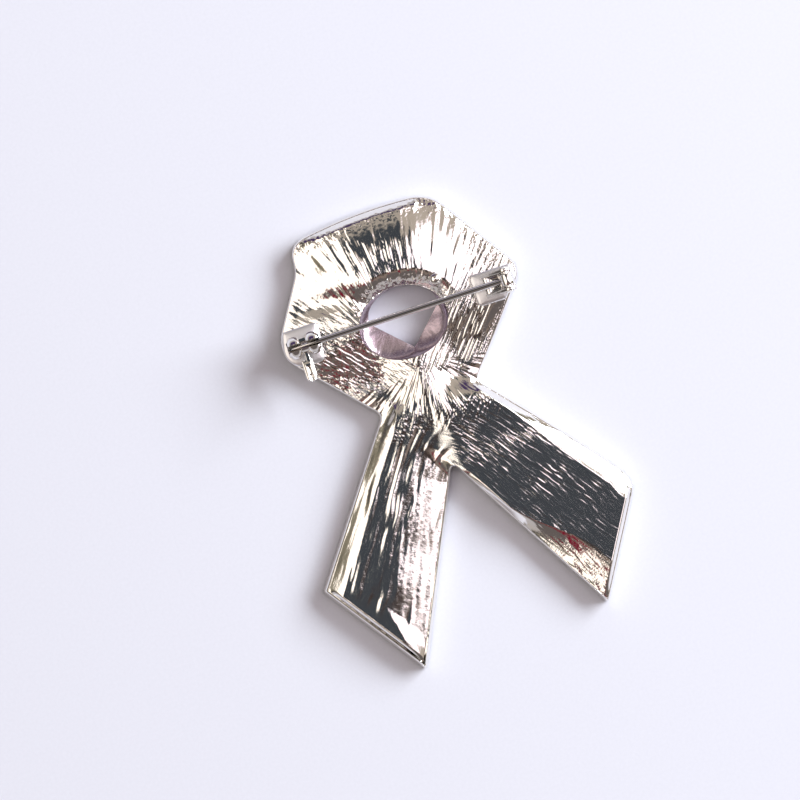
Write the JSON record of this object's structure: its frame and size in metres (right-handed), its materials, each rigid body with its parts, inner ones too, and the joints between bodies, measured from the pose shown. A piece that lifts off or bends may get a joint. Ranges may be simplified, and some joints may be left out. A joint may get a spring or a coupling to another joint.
{
  "type": "rhinestone ribbon brooch with a pin stem and a turning safety catch",
  "caption": "Looped, crossed ribbon brooch in bright plated cast metal, its front set with pink glass stones, its back with a hinged pin and a turning safety catch.",
  "frame": {"origin": "middle of the outline's box, in the plane of the stones' tables on which the brooch lies face down", "axes": "+X along the pin, from the catch to the hinge; +Y up the ribbon, from the tails to the loop; +Z away from the stones, towards the pin"},
  "size_m": [0.0412, 0.057, 0.0064],
  "materials": {
    "silver_plate": "bright plated, with brushed strokes cast into the back",
    "steel_wire": "drawn bright",
    "pink_glass": "faceted, foil backed"
  },
  "bodies": {
    "ribbon": {"ribbon_casting": "silver_plate", "hinge_rivet": "silver_plate", "loop_stones": "pink_glass", "right_tail_stones": "pink_glass", "left_tail_stones": "pink_glass"},
    "pin": {"pin_stem": "steel_wire"},
    "sleeve": {"catch_sleeve": "silver_plate"}
  },
  "joints": [
    {"name": "pin_hinge", "type": "hinge", "parent": "ribbon", "child": "pin", "pos_m": [0.01333, 0.01463, 0.005], "axis": [0, 1, 0], "range_deg": [0, 100]},
    {"name": "catch_turn", "type": "hinge", "parent": "ribbon", "child": "sleeve", "pos_m": [-0.01322, 0.01463, 0.005], "axis": [-1, 0, 0], "range_deg": [0, 95]}
  ]
}
